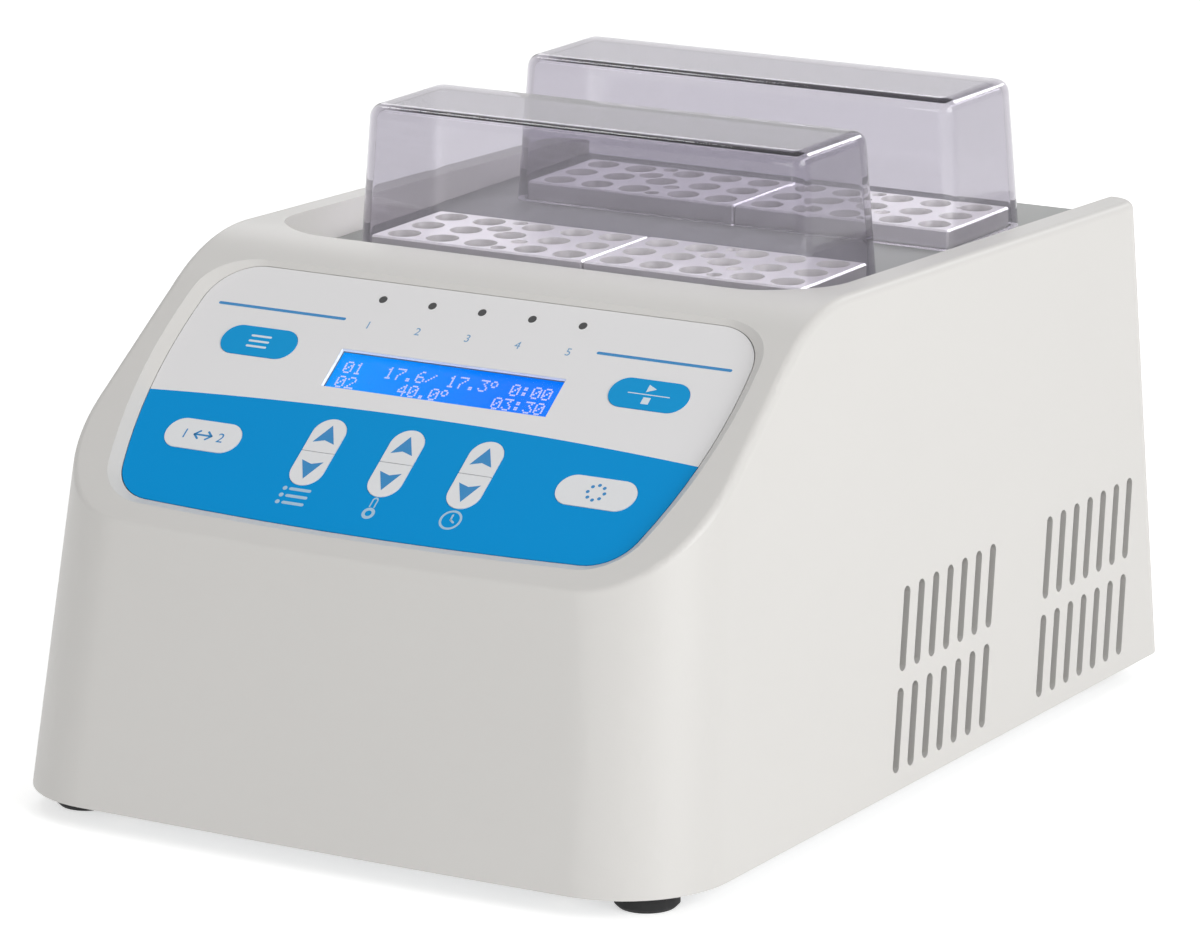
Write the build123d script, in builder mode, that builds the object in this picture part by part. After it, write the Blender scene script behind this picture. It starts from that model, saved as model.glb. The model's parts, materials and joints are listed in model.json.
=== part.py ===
from build123d import *
from math import atan, cos, degrees, radians, sin, tan
import os

# A bench dry bath incubator with two heated and cooled baths under clear lift-off lids.
# Millimetres. X to the right, Y to the rear, Z up from the ground. The origin lies under the
# middle of the whole machine, between the front of the housing and the rear connector.

os.makedirs("parts", exist_ok=True)

# Housing
body_width = 245.5
body_depth = 329.0
side_taper = 0.070
front_rake = 0.165
front_bow = 2.0
corner_radius = 35.0
rear_corner_radius = 10.0
shell_wall = 3.0
rear_reach = 6.0
crown_height = 165.8
crown_setback = 138.0
crown_fall = 0.035
crown_radius = 60.0
rim_radius = 3.0
fit_gap = 0.3

# Feet and base plate
foot_diameter = 20.0
foot_height = 7.0
foot_inset_x = 21.0
foot_inset_y = 25.0
foot_chamfer = 1.2
foot_seat = 2.5
base_thickness = 2.0

# Sloping control panel, measured from the row of status lamps
panel_tilt = 36.6
lamp_row_setback = 98.0
lamp_row_height = 154.4
lamp_pitch = 18.2
lamp_diameter = 2.8
panel_recess = 2.6
pocket_flare = 3.6
overlay_thickness = 1.35
circuit_thickness = 0.6
panel_wall = 2.25
overlay_above_lamps = 7.0
overlay_below_lamps = 91.0
overlay_half_top = 97.4
overlay_half_middle = 99.8
overlay_half_bottom = 89.0
overlay_bow = 2.4
overlay_top_corner = 17.0
overlay_bottom_corner = 16.0

# Keys
key_width = 27.5
key_height = 11.6
upper_key_x = 70.8
upper_key_y = -23.1
lower_key_x = 71.0
lower_key_y = -62.2
pill_width = 11.8
pill_length = 26.6
pill_pitch = 28.4
key_gap = 0.12
key_split = 0.3
key_proud = 0.2
key_thickness = 0.95
dome_diameter = 8.0
dome_height = 0.25
dome_rim = 0.12
dome_crown_diameter = 5.0

# Display
window_width = 81.4
window_height = 15.4
window_y = -28.9
window_sink = 0.15
glass_width = 84.0
glass_height = 18.0
glass_thickness = 1.2
glass_gap = 0.1
bezel_width = 98.0
bezel_height = 26.0
bezel_depth = 7.0
display_board_width = 116.0
display_board_height = 37.0
board_thickness = 1.6
standoff_diameter = 5.0
standoff_bore = 2.7

# Well, deck and ledge
well_setback = 122.5
well_half_width = 101.5
well_corner = 26.0
deck_top = 153.1
deck_thickness = 2.0
ledge_thickness = 3.0
ledge_width = 7.5
deck_rear_margin = 1.5

# Baths
front_bath_setback = 178.4
bath_pitch = 96.3
block_width = 79.4
block_depth = 42.0
block_height = 50.0
block_stand = 6.0
block_seam = 0.3
block_chamfer = 0.6
deck_gap = 0.9
well_diameter = 10.8
well_depth = 39.0
well_pitch = 14.5
well_row_pitch = 14.1
well_wide_step = 18.7
lift_hole_diameter = 8.2
lift_hole_depth = 18.0
index_hole_diameter = 5.6
index_hole_depth = 2.5
block_screw_diameter = 3.0
block_screw_head = 4.8
block_screw_edge = 3.9
block_screw_clearance = 0.2
head_height = 3.0
head_sink = 4.0
block_screw_drive = 2.5
block_screw_bite = 4.0
well_tip = 2.2
well_tip_diameter = 4.0
plate_thickness = 5.0
module_side = 40.0
module_thickness = 3.8
module_pitch = 50.0
sink_width = 175.0
sink_depth = 56.0
sink_base = 6.0
fin_length = 140.0
fin_height = 42.0
fin_thickness = 2.0
fin_pitch = 6.0
fin_count = 9
post_diameter = 8.0
post_inset = 7.5
sensor_diameter = 3.0
sensor_length = 24.0
sensor_tail = 2.0
cutout_width = 8.0
cutout_length = 15.0
cutout_height = 3.6

# Lids
lid_height = 49.0
lid_wall = 2.4
lid_draft = 3.2
lid_block_gap = 1.4
lid_corner = 6.0
lid_edge = 3.6
lid_inner_edge = 0.8

# Fans
fan_side = 60.0
fan_bore = 57.0
fan_thickness = 20.0
fan_face_x = 112.0
fan_offset = -4.0
fan_corner = 4.0
fan_hub = 24.0
fan_tip_gap = 1.2
fan_strut = 3.0
fan_shaft = 3.0
fan_clearance = 0.5
shaft_play = 0.05
blade_count = 7
blade_chord = 11.0
blade_thickness = 1.4
blade_pitch_angle = 38.0

# Side vents
slot_width = 4.0
slot_rise = 25.7
slot_gap = 5.0
slot_pitch = 9.5
slot_count = 7
slot_lean = 14.6
vent_centre = 41.1
vent_offset = -1.2

# Rear panel and its fittings
rear_panel_width = 200.0
rear_panel_height = 84.0
rear_panel_centre = 55.0
rear_panel_thickness = 1.5
rear_panel_corner = 4.0
rear_lip = 6.0
panel_screw_head = 5.6
panel_screw_shank = 2.8
flange_thickness = 2.0
inlet_x = -62.0
inlet_z = 40.0
inlet_width = 31.0
inlet_height = 46.0
inlet_depth = 20.0
socket_width = 24.5
socket_height = 16.5
socket_depth = 15.0
socket_drop = 9.5
pin_width = 2.0
pin_height = 4.0
pin_length = 11.0
pin_spread = 7.0
pin_offset = 2.0
drawer_width = 20.0
drawer_height = 9.0
drawer_depth = 18.0
drawer_rise = 14.0
drawer_grip = 2.4
switch_x = -18.0
switch_z = 40.0
switch_width = 17.0
switch_height = 25.0
switch_depth = 16.0
rocker_width = 11.0
rocker_height = 17.0
rocker_tilt = 9.0
rocker_pivot = 2.0
rocker_body = 4.0
rocker_crest = 4.6
rocker_waist = 3.2
rocker_sink = 6.5
pivot_reach = 1.0
port_x = 40.0
port_z = 40.0
port_width = 31.0
port_height = 12.6
port_shell_width = 17.0
port_shell_height = 8.4
port_depth = 9.0
port_plate = 1.2
port_pin_pitch = 2.76
port_pin_hole = 1.3

# Electronics on the base plate
supply_width = 105.0
supply_depth = 70.0
supply_height = 36.0
supply_x = -55.0
supply_setback = 72.0
control_width = 96.0
control_depth = 80.0
control_x = 54.0
control_setback = 68.0
board_lift = 6.0
ribbon_width = 24.0
ribbon_thickness = 1.0
ribbon_bend = 8.0
ribbon_lead = 9.0
ribbon_drop = 12.0
ribbon_inset = 6.0
header_height = 4.0
header_depth = 6.0
harness_diameter = 6.0
harness_x = -104.0
harness_bend = 8.0
harness_drop = 12.0
harness_turn = 18.5
supply_terminal_x = 24.0

# Screws
screw_head_diameter = 7.0
screw_head_height = 2.4
screw_shank = 3.2
screw_play = 0.2
nut_width = 5.5
nut_height = 2.6
pillar_size = 10.0
pillar_height = 32.0
pillar_setback = 10.0
front_pillar_x = 80.0
rear_pillar_x = 110.0
screw_bite = 14.0

# Levels and places worked out from the sizes above
front_y = -(body_depth + rear_reach) / 2
rear_y = front_y + body_depth
bottom_z = foot_height
base_top = bottom_z + base_thickness
lamp_y = front_y + lamp_row_setback
crown_y = front_y + crown_setback
well_front_y = front_y + well_setback
deck_seat = deck_top - deck_thickness
bath_y = {
    "front": front_y + front_bath_setback,
    "rear": front_y + front_bath_setback + bath_pitch,
}
block_top = deck_top + block_stand
plate_top = block_top - block_height
module_top = plate_top - plate_thickness
sink_top = module_top - module_thickness
bath_width = 2 * block_width + block_seam
panel = Plane(
    origin=(0, lamp_y, lamp_row_height),
    x_dir=(1, 0, 0),
    z_dir=(0, -sin(radians(panel_tilt)), cos(radians(panel_tilt))),
)
pocket_floor = -(overlay_thickness + circuit_thickness)
panel_back = pocket_floor - panel_wall


def panel_point(up, out):
    # Y and Z of a point on the panel's middle line, up the slope and out of its face
    tilt = radians(panel_tilt)
    return (
        lamp_y + up * cos(tilt) - out * sin(tilt),
        lamp_row_height + up * sin(tilt) + out * cos(tilt),
    )


def crown_line(y, drop=0):
    return crown_height - crown_fall * (y - crown_y) - drop


def slope_line_y(z, out):
    # Y where the panel's slope, moved out of its face, reaches a height
    start_y, start_z = panel_point(0, out)
    return start_y + (z - start_z) / tan(radians(panel_tilt))


def slope_meets_crown(out, drop):
    start_y, start_z = panel_point(0, out)
    slope = tan(radians(panel_tilt))
    y = (crown_line(0, drop) - start_z + slope * start_y) / (slope + crown_fall)
    return (y, crown_line(y, drop))


def body_plan(height, inset=0):
    # Outline of the housing at a height, moved inwards by inset
    rise = height - bottom_z
    half = body_width / 2 - side_taper * rise - inset
    front = front_y + front_bow + front_rake * rise + inset
    with BuildSketch(Plane.XY.offset(height)) as plan:
        with BuildLine():
            ThreePointArc((-half, front), (0, front - front_bow), (half, front))
            Polyline((half, front), (half, rear_y - inset), (-half, rear_y - inset), (-half, front))
        make_face()
        fillet(plan.vertices().group_by(Axis.Y)[0], corner_radius - inset)
        fillet(plan.vertices().group_by(Axis.Y)[-1], rear_corner_radius - inset)
    return plan.sketch


def overlay_face(level, grow=0):
    # The control panel's outline on a level above or below the face of the overlay
    low = -overlay_below_lamps - grow
    high = overlay_above_lamps + grow
    half_top = overlay_half_top + grow
    half_middle = overlay_half_middle + grow
    half_bottom = overlay_half_bottom + grow
    widest = (overlay_above_lamps - overlay_below_lamps) / 2 + 2
    with BuildSketch(panel.offset(level)) as face:
        with BuildLine():
            Line((-half_top, high), (half_top, high))
            ThreePointArc((half_top, high), (half_middle, widest), (half_bottom, low + overlay_bow))
            ThreePointArc((half_bottom, low + overlay_bow), (0, low), (-half_bottom, low + overlay_bow))
            ThreePointArc((-half_bottom, low + overlay_bow), (-half_middle, widest), (-half_top, high))
        make_face()
        fillet(face.vertices().group_by(Axis.Y)[-1], overlay_top_corner + grow)
        fillet(face.vertices().group_by(Axis.Y)[0], overlay_bottom_corner + grow)
    return face.sketch


def save(piece, name):
    piece.label = name
    export_step(piece, f"parts/{name}.step")


# Places of the keys on the panel: across, up the slope, width and height
round_keys = {
    "option_key": (-upper_key_x, upper_key_y),
    "start_stop_key": (upper_key_x, upper_key_y),
    "bath_select_key": (-lower_key_x, lower_key_y),
    "mode_key": (lower_key_x, lower_key_y),
}
pill_keys = {"program": -pill_pitch, "temperature": 0.0, "time": pill_pitch}
dome_points = list(round_keys.values()) + [
    (across, lower_key_y + side * pill_length / 4) for across in pill_keys.values() for side in (1, -1)
]

# Upper housing: outer form, hollow inside, panel pocket, well, vents and rear opening
with BuildSketch(Plane.YZ) as outer_profile:
    with BuildLine():
        low_y = slope_line_y(0, panel_recess)
        rear_end = rear_y + corner_radius
        Polyline(
            (low_y, 0),
            slope_meets_crown(panel_recess, 0),
            (rear_end, crown_line(rear_end)),
            (rear_end, 0),
            (low_y, 0),
        )
    make_face()
    fillet(outer_profile.vertices().sort_by(Axis.Y)[-1], crown_radius)

with BuildSketch(Plane.YZ) as inner_profile:
    with BuildLine():
        hump_end = well_front_y - shell_wall
        ledge_under = deck_seat - ledge_thickness
        low_y = slope_line_y(0, panel_back)
        Polyline(
            (low_y, 0),
            slope_meets_crown(panel_back, shell_wall),
            (hump_end, crown_line(hump_end, shell_wall)),
            (hump_end, ledge_under),
            (rear_y + corner_radius, ledge_under),
            (rear_y + corner_radius, 0),
            (low_y, 0),
        )
    make_face()

front_pillar_y = front_y + front_bow + shell_wall + pillar_setback
rear_pillar_y = rear_y - shell_wall - pillar_setback
pillar_places = [
    (-front_pillar_x, front_pillar_y),
    (front_pillar_x, front_pillar_y),
    (-rear_pillar_x, rear_pillar_y),
    (rear_pillar_x, rear_pillar_y),
]

with BuildPart() as cavity:
    loft([body_plan(0, shell_wall), body_plan(crown_height, shell_wall)])
    extrude(inner_profile.sketch, amount=body_width, both=True, mode=Mode.INTERSECT)

# Screw pillars, reaching half way into the walls that carry them
with BuildPart() as pillars:
    with BuildSketch(Plane.XY.offset(base_top)) as pillar_plan:
        for place_x, place_y in pillar_places:
            toward_wall = -1 if place_y < 0 else 1
            with Locations((place_x, place_y + toward_wall * pillar_setback)):
                Rectangle(pillar_size, pillar_size + 2 * pillar_setback)
    extrude(amount=pillar_height)
    loft([body_plan(0, shell_wall / 2), body_plan(crown_height, shell_wall / 2)], mode=Mode.INTERSECT)

with BuildPart() as upper_housing:
    loft([body_plan(bottom_z), body_plan(crown_height + rim_radius)])
    extrude(outer_profile.sketch, amount=body_width, both=True, mode=Mode.INTERSECT)
    crown_faces = upper_housing.faces().filter_by(lambda face: face.normal_at().Z > 0.5)
    crown_edges = crown_faces.edges().filter_by(
        lambda edge: abs(edge.tangent_at(0.5).X) < 0.98 or edge.center().Z < crown_height / 1.5
    )
    fillet(crown_edges, rim_radius)
    add(cavity.part, mode=Mode.SUBTRACT)
    add(pillars.part)
    # The well between the two cheeks, open to the rear
    with BuildSketch(Plane.XY.offset(deck_seat)) as well_plan:
        with Locations((0, (well_front_y + rear_y + corner_radius) / 2)):
            Rectangle(2 * well_half_width, rear_y + corner_radius - well_front_y)
        fillet(well_plan.vertices().group_by(Axis.Y)[0], well_corner)
    extrude(amount=crown_height, mode=Mode.SUBTRACT)
    # The opening inside the ledge that carries the deck
    with BuildSketch(Plane.XY.offset(ledge_under - 1)) as ledge_plan:
        ledge_front = well_front_y + ledge_width
        ledge_rear = rear_y - shell_wall - ledge_width
        with Locations((0, (ledge_front + ledge_rear) / 2)):
            RectangleRounded(
                2 * (well_half_width - ledge_width), ledge_rear - ledge_front, well_corner - ledge_width
            )
    extrude(amount=ledge_thickness + 2, mode=Mode.SUBTRACT)
    # The flared pocket of the overlay, and its straight part below
    flare_angle = degrees(atan(pocket_flare / panel_recess))
    extrude(overlay_face(0, fit_gap), amount=panel_recess + 1, taper=-flare_angle, mode=Mode.SUBTRACT)
    extrude(overlay_face(pocket_floor, fit_gap), amount=-pocket_floor, mode=Mode.SUBTRACT)
    with BuildSketch(panel.offset(pocket_floor)) as bezel_hole:
        with Locations((0, window_y)):
            Rectangle(bezel_width + 2 * fit_gap, bezel_height + 2 * fit_gap)
    extrude(amount=-2 * panel_wall, mode=Mode.SUBTRACT)
    # Leaning air slots, two rows of them beside each bath
    with BuildSketch(Plane.YZ) as vent_plan:
        for middle in bath_y.values():
            for row in (-1, 1):
                for slot in range(slot_count):
                    climb = row * (slot_rise + slot_gap) / 2
                    along = (slot - (slot_count - 1) / 2) * slot_pitch
                    place = (middle + vent_offset + along + climb * tan(radians(slot_lean)), vent_centre + climb)
                    with Locations(place):
                        SlotOverall(slot_rise / cos(radians(slot_lean)), slot_width, rotation=90 - slot_lean)
    extrude(amount=body_width, both=True, mode=Mode.SUBTRACT)
    # Rear opening, with a seat for the rear panel
    with BuildSketch(Plane.XZ.offset(-rear_y)) as rear_seat:
        with Locations((0, rear_panel_centre)):
            RectangleRounded(
                rear_panel_width + 2 * fit_gap, rear_panel_height + 2 * fit_gap, rear_panel_corner + fit_gap
            )
    extrude(amount=rear_panel_thickness, mode=Mode.SUBTRACT)
    with BuildSketch(Plane.XZ.offset(-rear_y)) as rear_hole:
        with Locations((0, rear_panel_centre)):
            Rectangle(rear_panel_width - 2 * rear_lip, rear_panel_height - 2 * rear_lip)
    extrude(amount=2 * shell_wall, mode=Mode.SUBTRACT)
    # Pilot holes in the pillars
    with BuildSketch(Plane.XY.offset(base_top)) as pilot_plan:
        with Locations(*pillar_places):
            Circle(screw_shank / 2 + shaft_play)
    extrude(amount=screw_bite + 2, mode=Mode.SUBTRACT)
save(upper_housing.part, "upper_housing")

# Base plate that closes the housing from below
foot_places = [
    (side * (body_width / 2 - foot_inset_x), y)
    for side in (-1, 1)
    for y in (front_y + foot_inset_y, rear_y - foot_inset_y)
]
with BuildPart() as base_plate:
    add(extrude(body_plan(base_top, shell_wall + fit_gap), amount=-base_thickness))
    with BuildSketch(Plane.XY.offset(bottom_z)) as base_holes:
        with Locations(*foot_places, *pillar_places):
            Circle(screw_shank / 2 + screw_play)
        with Locations(*[(0, middle) for middle in bath_y.values()]):
            with GridLocations(slot_pitch, 0, slot_count, 1):
                SlotOverall(slot_rise, slot_width, rotation=90)
    extrude(amount=base_thickness, mode=Mode.SUBTRACT)
save(base_plate.part, "base_plate")

# Rubber feet, hollow around the screw head
with BuildPart() as feet:
    with BuildSketch() as foot_plan:
        with Locations(*foot_places):
            Circle(foot_diameter / 2)
    extrude(amount=foot_height)
    chamfer(feet.edges().filter_by(GeomType.CIRCLE).group_by(Axis.Z)[0], foot_chamfer)
    with BuildSketch() as foot_recess:
        with Locations(*foot_places):
            Circle(screw_head_diameter / 2 + screw_play)
    extrude(amount=foot_height - foot_seat, mode=Mode.SUBTRACT)
    with BuildSketch() as foot_bore:
        with Locations(*foot_places):
            Circle(screw_shank / 2 + screw_play)
    extrude(amount=foot_height, mode=Mode.SUBTRACT)
save(feet.part, "feet")

# Screws through the feet with their nuts, and screws into the pillars
with BuildPart() as base_screws:
    head_face = foot_height - foot_seat
    with BuildSketch(Plane.XY.offset(head_face)) as foot_heads:
        with Locations(*foot_places):
            Circle(screw_head_diameter / 2)
    extrude(amount=-screw_head_height)
    with BuildSketch(Plane.XY.offset(head_face)) as foot_shanks:
        with Locations(*foot_places):
            Circle(screw_shank / 2)
    extrude(amount=base_top + nut_height + 1 - head_face)
    with BuildSketch(Plane.XY.offset(bottom_z)) as pillar_heads:
        with Locations(*pillar_places):
            Circle(screw_head_diameter / 2)
    extrude(amount=-screw_head_height)
    with BuildSketch(Plane.XY.offset(bottom_z)) as pillar_shanks:
        with Locations(*pillar_places):
            Circle(screw_shank / 2)
    extrude(amount=screw_bite)
save(base_screws.part, "base_screws")

with BuildPart() as foot_nuts:
    with BuildSketch(Plane.XY.offset(base_top)) as nut_plan:
        with Locations(*foot_places):
            RegularPolygon(nut_width / 2, 6, major_radius=False)
            Circle(screw_shank / 2 + shaft_play, mode=Mode.SUBTRACT)
    extrude(amount=nut_height)
save(foot_nuts.part, "foot_nuts")

# Deck between the cheeks, with one opening for each bath
with BuildPart() as deck_plate:
    with BuildSketch(Plane.XY.offset(deck_seat)) as deck_plan:
        deck_front = well_front_y + fit_gap
        deck_rear = rear_y - deck_rear_margin
        with Locations((0, (deck_front + deck_rear) / 2)):
            Rectangle(2 * (well_half_width - fit_gap), deck_rear - deck_front)
        fillet(deck_plan.vertices().group_by(Axis.Y)[0], well_corner - fit_gap)
        with Locations(*[(0, middle) for middle in bath_y.values()]):
            Rectangle(bath_width + 2 * deck_gap, block_depth + 2 * deck_gap, mode=Mode.SUBTRACT)
    extrude(amount=deck_thickness)
save(deck_plate.part, "deck_plate")

# Places of the wells in one half block, from its middle
row_span = 3 * well_pitch + well_wide_step
well_columns = {
    -1: [0, well_pitch, 2 * well_pitch, row_span - well_pitch, row_span],
    0: [0, well_pitch, row_span / 2, row_span - well_pitch, row_span],
    1: [0, well_pitch, well_pitch + well_wide_step, row_span - well_pitch, row_span],
}
well_places = [
    (across - row_span / 2, row * well_row_pitch) for row, columns in well_columns.items() for across in columns
]
screw_columns = (2.58 * well_pitch - row_span / 2, 1.70 * well_pitch - row_span / 2)
screw_row = block_depth / 2 - block_screw_edge
block_screw_places = [(screw_columns[0], -screw_row), (screw_columns[1], screw_row)]
index_place = (2.67 * well_pitch - row_span / 2, -0.46 * well_row_pitch)
lift_place = (1.60 * well_pitch - row_span / 2, 0.47 * well_row_pitch)
block_x = {"left": -(block_width + block_seam) / 2, "right": (block_width + block_seam) / 2}


def half_block(centre_x, centre_y):
    top = Plane(origin=(centre_x, centre_y, block_top))
    with BuildPart() as block:
        with BuildSketch(top.offset(-block_height)):
            Rectangle(block_width, block_depth)
        extrude(amount=block_height)
        chamfer(block.faces().sort_by(Axis.Z)[-1].edges() + block.edges().filter_by(Axis.Z), block_chamfer)
        with Locations(top):
            with Locations(*well_places):
                Hole(well_diameter / 2, depth=well_depth)
            with Locations(*block_screw_places):
                CounterBoreHole(
                    block_screw_diameter / 2 + block_screw_clearance,
                    block_screw_head / 2 + block_screw_clearance,
                    head_sink,
                    depth=block_height,
                )
            with Locations(index_place):
                Hole(index_hole_diameter / 2, depth=index_hole_depth)
            with Locations(lift_place):
                Hole(lift_hole_diameter / 2, depth=lift_hole_depth)
        # Drill points at the bottoms of the wells
        with Locations(top.offset(-well_depth)):
            with Locations(*well_places):
                Cone(
                    bottom_radius=well_tip_diameter / 2,
                    top_radius=well_diameter / 2,
                    height=well_tip,
                    align=(Align.CENTER, Align.CENTER, Align.MAX),
                    mode=Mode.SUBTRACT,
                )
    return block.part


for bath, middle in bath_y.items():
    for hand, centre_x in block_x.items():
        save(half_block(centre_x, middle), f"{bath}_{hand}_block")

with BuildPart() as block_screws:
    for middle in bath_y.values():
        for centre_x in block_x.values():
            with BuildSketch(Plane(origin=(centre_x, middle, block_top - head_sink))):
                with Locations(*block_screw_places):
                    Circle(block_screw_head / 2)
                    RegularPolygon(block_screw_drive / 2, 6, mode=Mode.SUBTRACT)
            extrude(amount=head_height)
            with BuildSketch(Plane(origin=(centre_x, middle, block_top - head_sink))):
                with Locations(*block_screw_places):
                    Circle(block_screw_diameter / 2)
            extrude(amount=-(block_height - head_sink + block_screw_bite))
save(block_screws.part, "block_screws")


# Below the blocks: spreader plate, thermoelectric modules and heat sink
def spreader_plate(middle):
    with BuildPart() as plate:
        with BuildSketch(Plane(origin=(0, middle, module_top))):
            Rectangle(bath_width + deck_gap, block_depth + deck_gap)
            for centre_x in block_x.values():
                with Locations(*[(centre_x + across, up) for across, up in block_screw_places]):
                    Circle(block_screw_diameter / 2 + shaft_play, mode=Mode.SUBTRACT)
        extrude(amount=plate_thickness)
        with BuildSketch(Plane.YZ.offset((bath_width + deck_gap) / 2)):
            with Locations((middle, module_top + plate_thickness / 2)):
                Circle(sensor_diameter / 2 + shaft_play)
        extrude(amount=-(sensor_length - sensor_tail), mode=Mode.SUBTRACT)
    return plate.part


def heat_sink(middle):
    with BuildPart() as sink:
        with BuildSketch(Plane(origin=(0, middle, sink_top - sink_base))):
            Rectangle(sink_width, sink_depth)
        extrude(amount=sink_base)
        with BuildSketch(Plane(origin=(0, middle, sink_top - sink_base))):
            with GridLocations(0, fin_pitch, 1, fin_count):
                Rectangle(fin_length, fin_thickness)
        extrude(amount=-fin_height)
    return sink.part


def insulation_jacket(middle):
    with BuildPart() as jacket:
        with BuildSketch(Plane(origin=(0, middle, sink_top))):
            Rectangle(sink_width, sink_depth)
            Rectangle(bath_width + 2 * deck_gap, block_depth + 2 * deck_gap, mode=Mode.SUBTRACT)
        extrude(amount=deck_seat - sink_top)
        # A notch lets the sensor's lead out
        with BuildSketch(Plane.YZ.offset(sink_width / 2)):
            with Locations((middle, module_top + plate_thickness / 2)):
                Rectangle(2 * sensor_diameter, 2 * sensor_diameter)
        extrude(amount=-(sink_width - bath_width) / 2, mode=Mode.SUBTRACT)
    return jacket.part


for bath, middle in bath_y.items():
    save(spreader_plate(middle), f"{bath}_spreader_plate")
    save(heat_sink(middle), f"{bath}_heat_sink")
    save(insulation_jacket(middle), f"{bath}_insulation")

with BuildPart() as thermoelectric_modules:
    for middle in bath_y.values():
        with BuildSketch(Plane(origin=(0, middle, sink_top))):
            with GridLocations(module_pitch, 0, 3, 1):
                Rectangle(module_side, module_side)
        extrude(amount=module_thickness)
save(thermoelectric_modules.part, "thermoelectric_modules")

with BuildPart() as thermal_cutouts:
    for middle in bath_y.values():
        with BuildSketch(Plane(origin=(0, middle, module_top))):
            with Locations((module_pitch / 2, 0)):
                Rectangle(cutout_width, cutout_length)
        extrude(amount=-cutout_height)
save(thermal_cutouts.part, "thermal_cutouts")

with BuildPart() as temperature_sensors:
    for middle in bath_y.values():
        with BuildSketch(Plane.YZ.offset((bath_width + deck_gap) / 2 + sensor_tail)):
            with Locations((middle, module_top + plate_thickness / 2)):
                Circle(sensor_diameter / 2)
        extrude(amount=-sensor_length + 1)
save(temperature_sensors.part, "temperature_sensors")

with BuildPart() as sink_posts:
    for middle in bath_y.values():
        with BuildSketch(Plane(origin=(0, middle, base_top))):
            with GridLocations(sink_width - 2 * post_inset, sink_depth - 2 * post_inset, 2, 2):
                RegularPolygon(post_diameter / 2, 6)
        extrude(amount=sink_top - sink_base - base_top)
save(sink_posts.part, "sink_posts")


# Clear lids that lift off the deck
def clear_lid(middle):
    outer_width = bath_width + 2 * (lid_block_gap + lid_wall)
    outer_depth = block_depth + 2 * (lid_block_gap + lid_wall)
    with BuildPart() as hollow:
        with BuildSketch(Plane(origin=(0, middle, deck_top))):
            RectangleRounded(outer_width - 2 * lid_wall, outer_depth - 2 * lid_wall, lid_corner - lid_wall)
        extrude(amount=lid_height - lid_wall, taper=lid_draft)
        fillet(hollow.faces().sort_by(Axis.Z)[-1].edges(), lid_inner_edge)
    with BuildPart() as lid:
        with BuildSketch(Plane(origin=(0, middle, deck_top))):
            RectangleRounded(outer_width, outer_depth, lid_corner)
        extrude(amount=lid_height, taper=lid_draft)
        fillet(lid.faces().sort_by(Axis.Z)[-1].edges(), lid_edge)
        add(hollow.part, mode=Mode.SUBTRACT)
    return lid.part


for bath, middle in bath_y.items():
    save(clear_lid(middle), f"{bath}_lid")


# Fans that stand on the base plate behind the right-hand slots
def fan_frame(middle):
    centre = (middle + fan_offset, base_top + fan_side / 2)
    with BuildPart() as frame:
        with BuildSketch(Plane.YZ.offset(fan_face_x - fan_thickness)):
            with Locations(centre):
                RectangleRounded(fan_side, fan_side, fan_corner)
                Circle(fan_bore / 2, mode=Mode.SUBTRACT)
                with GridLocations(fan_side - 10, fan_side - 10, 2, 2):
                    Circle(screw_shank / 2 + screw_play, mode=Mode.SUBTRACT)
        extrude(amount=fan_thickness)
        with BuildSketch(Plane.YZ.offset(fan_face_x - fan_thickness)):
            with Locations(centre):
                Circle(fan_hub / 2)
                for turn in (0, 45, 90, 135):
                    Rectangle(fan_bore + 0.5, fan_strut, rotation=turn)
                Circle(fan_shaft / 2 + shaft_play, mode=Mode.SUBTRACT)
        extrude(amount=fan_strut)
    return frame.part


def fan_rotor(middle):
    hub_back = fan_face_x - fan_thickness + fan_strut + fan_clearance
    centre_y = middle + fan_offset
    centre_z = base_top + fan_side / 2
    blade_reach = fan_bore / 2 - fan_tip_gap
    with BuildPart() as rotor:
        with BuildSketch(Plane.YZ.offset(hub_back)):
            with Locations((centre_y, centre_z)):
                Circle(fan_hub / 2)
        extrude(amount=fan_thickness - fan_strut - 2 * fan_clearance)
        fillet(rotor.edges().filter_by(GeomType.CIRCLE).sort_by(Axis.X)[-1], fan_strut / 2)
        with Locations(Plane(origin=(hub_back + blade_chord / 2 + 1, centre_y, centre_z), z_dir=(1, 0, 0))):
            with PolarLocations(0, blade_count):
                with Locations(Location((fan_hub / 2 - 1, 0, 0), (blade_pitch_angle, 0, 0))):
                    Box(
                        blade_reach - fan_hub / 2 + 1,
                        blade_thickness,
                        blade_chord,
                        align=(Align.MIN, Align.CENTER, Align.CENTER),
                    )
        with BuildSketch(Plane.YZ.offset(hub_back)):
            with Locations((centre_y, centre_z)):
                Circle(fan_shaft / 2)
        extrude(amount=-(fan_clearance + fan_strut))
    return rotor.part


for bath, middle in bath_y.items():
    save(fan_frame(middle), f"{bath}_fan_frame")
    save(fan_rotor(middle), f"{bath}_fan_rotor")


# Control panel: overlay, keys, domes, circuit and lamps
def key_outlines(grow):
    # Outlines of all keys as sketch objects on the panel, grown by a gap
    with BuildSketch() as outlines:
        with Locations(*round_keys.values()):
            SlotOverall(key_width + 2 * grow, key_height + 2 * grow)
        with Locations(*[(across, lower_key_y) for across in pill_keys.values()]):
            SlotOverall(pill_length + 2 * grow, pill_width + 2 * grow, rotation=90)
    return outlines.sketch


lamp_places = [((lamp - 2) * lamp_pitch, 0) for lamp in range(5)]

with BuildPart() as overlay:
    extrude(overlay_face(-overlay_thickness), amount=overlay_thickness)
    with BuildSketch(panel.offset(-overlay_thickness)):
        add(key_outlines(key_gap))
        with Locations((0, window_y)):
            Rectangle(window_width, window_height)
        with Locations(*lamp_places):
            Circle(lamp_diameter / 2 + shaft_play)
    extrude(amount=overlay_thickness, mode=Mode.SUBTRACT)
save(overlay.part, "overlay")

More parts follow.
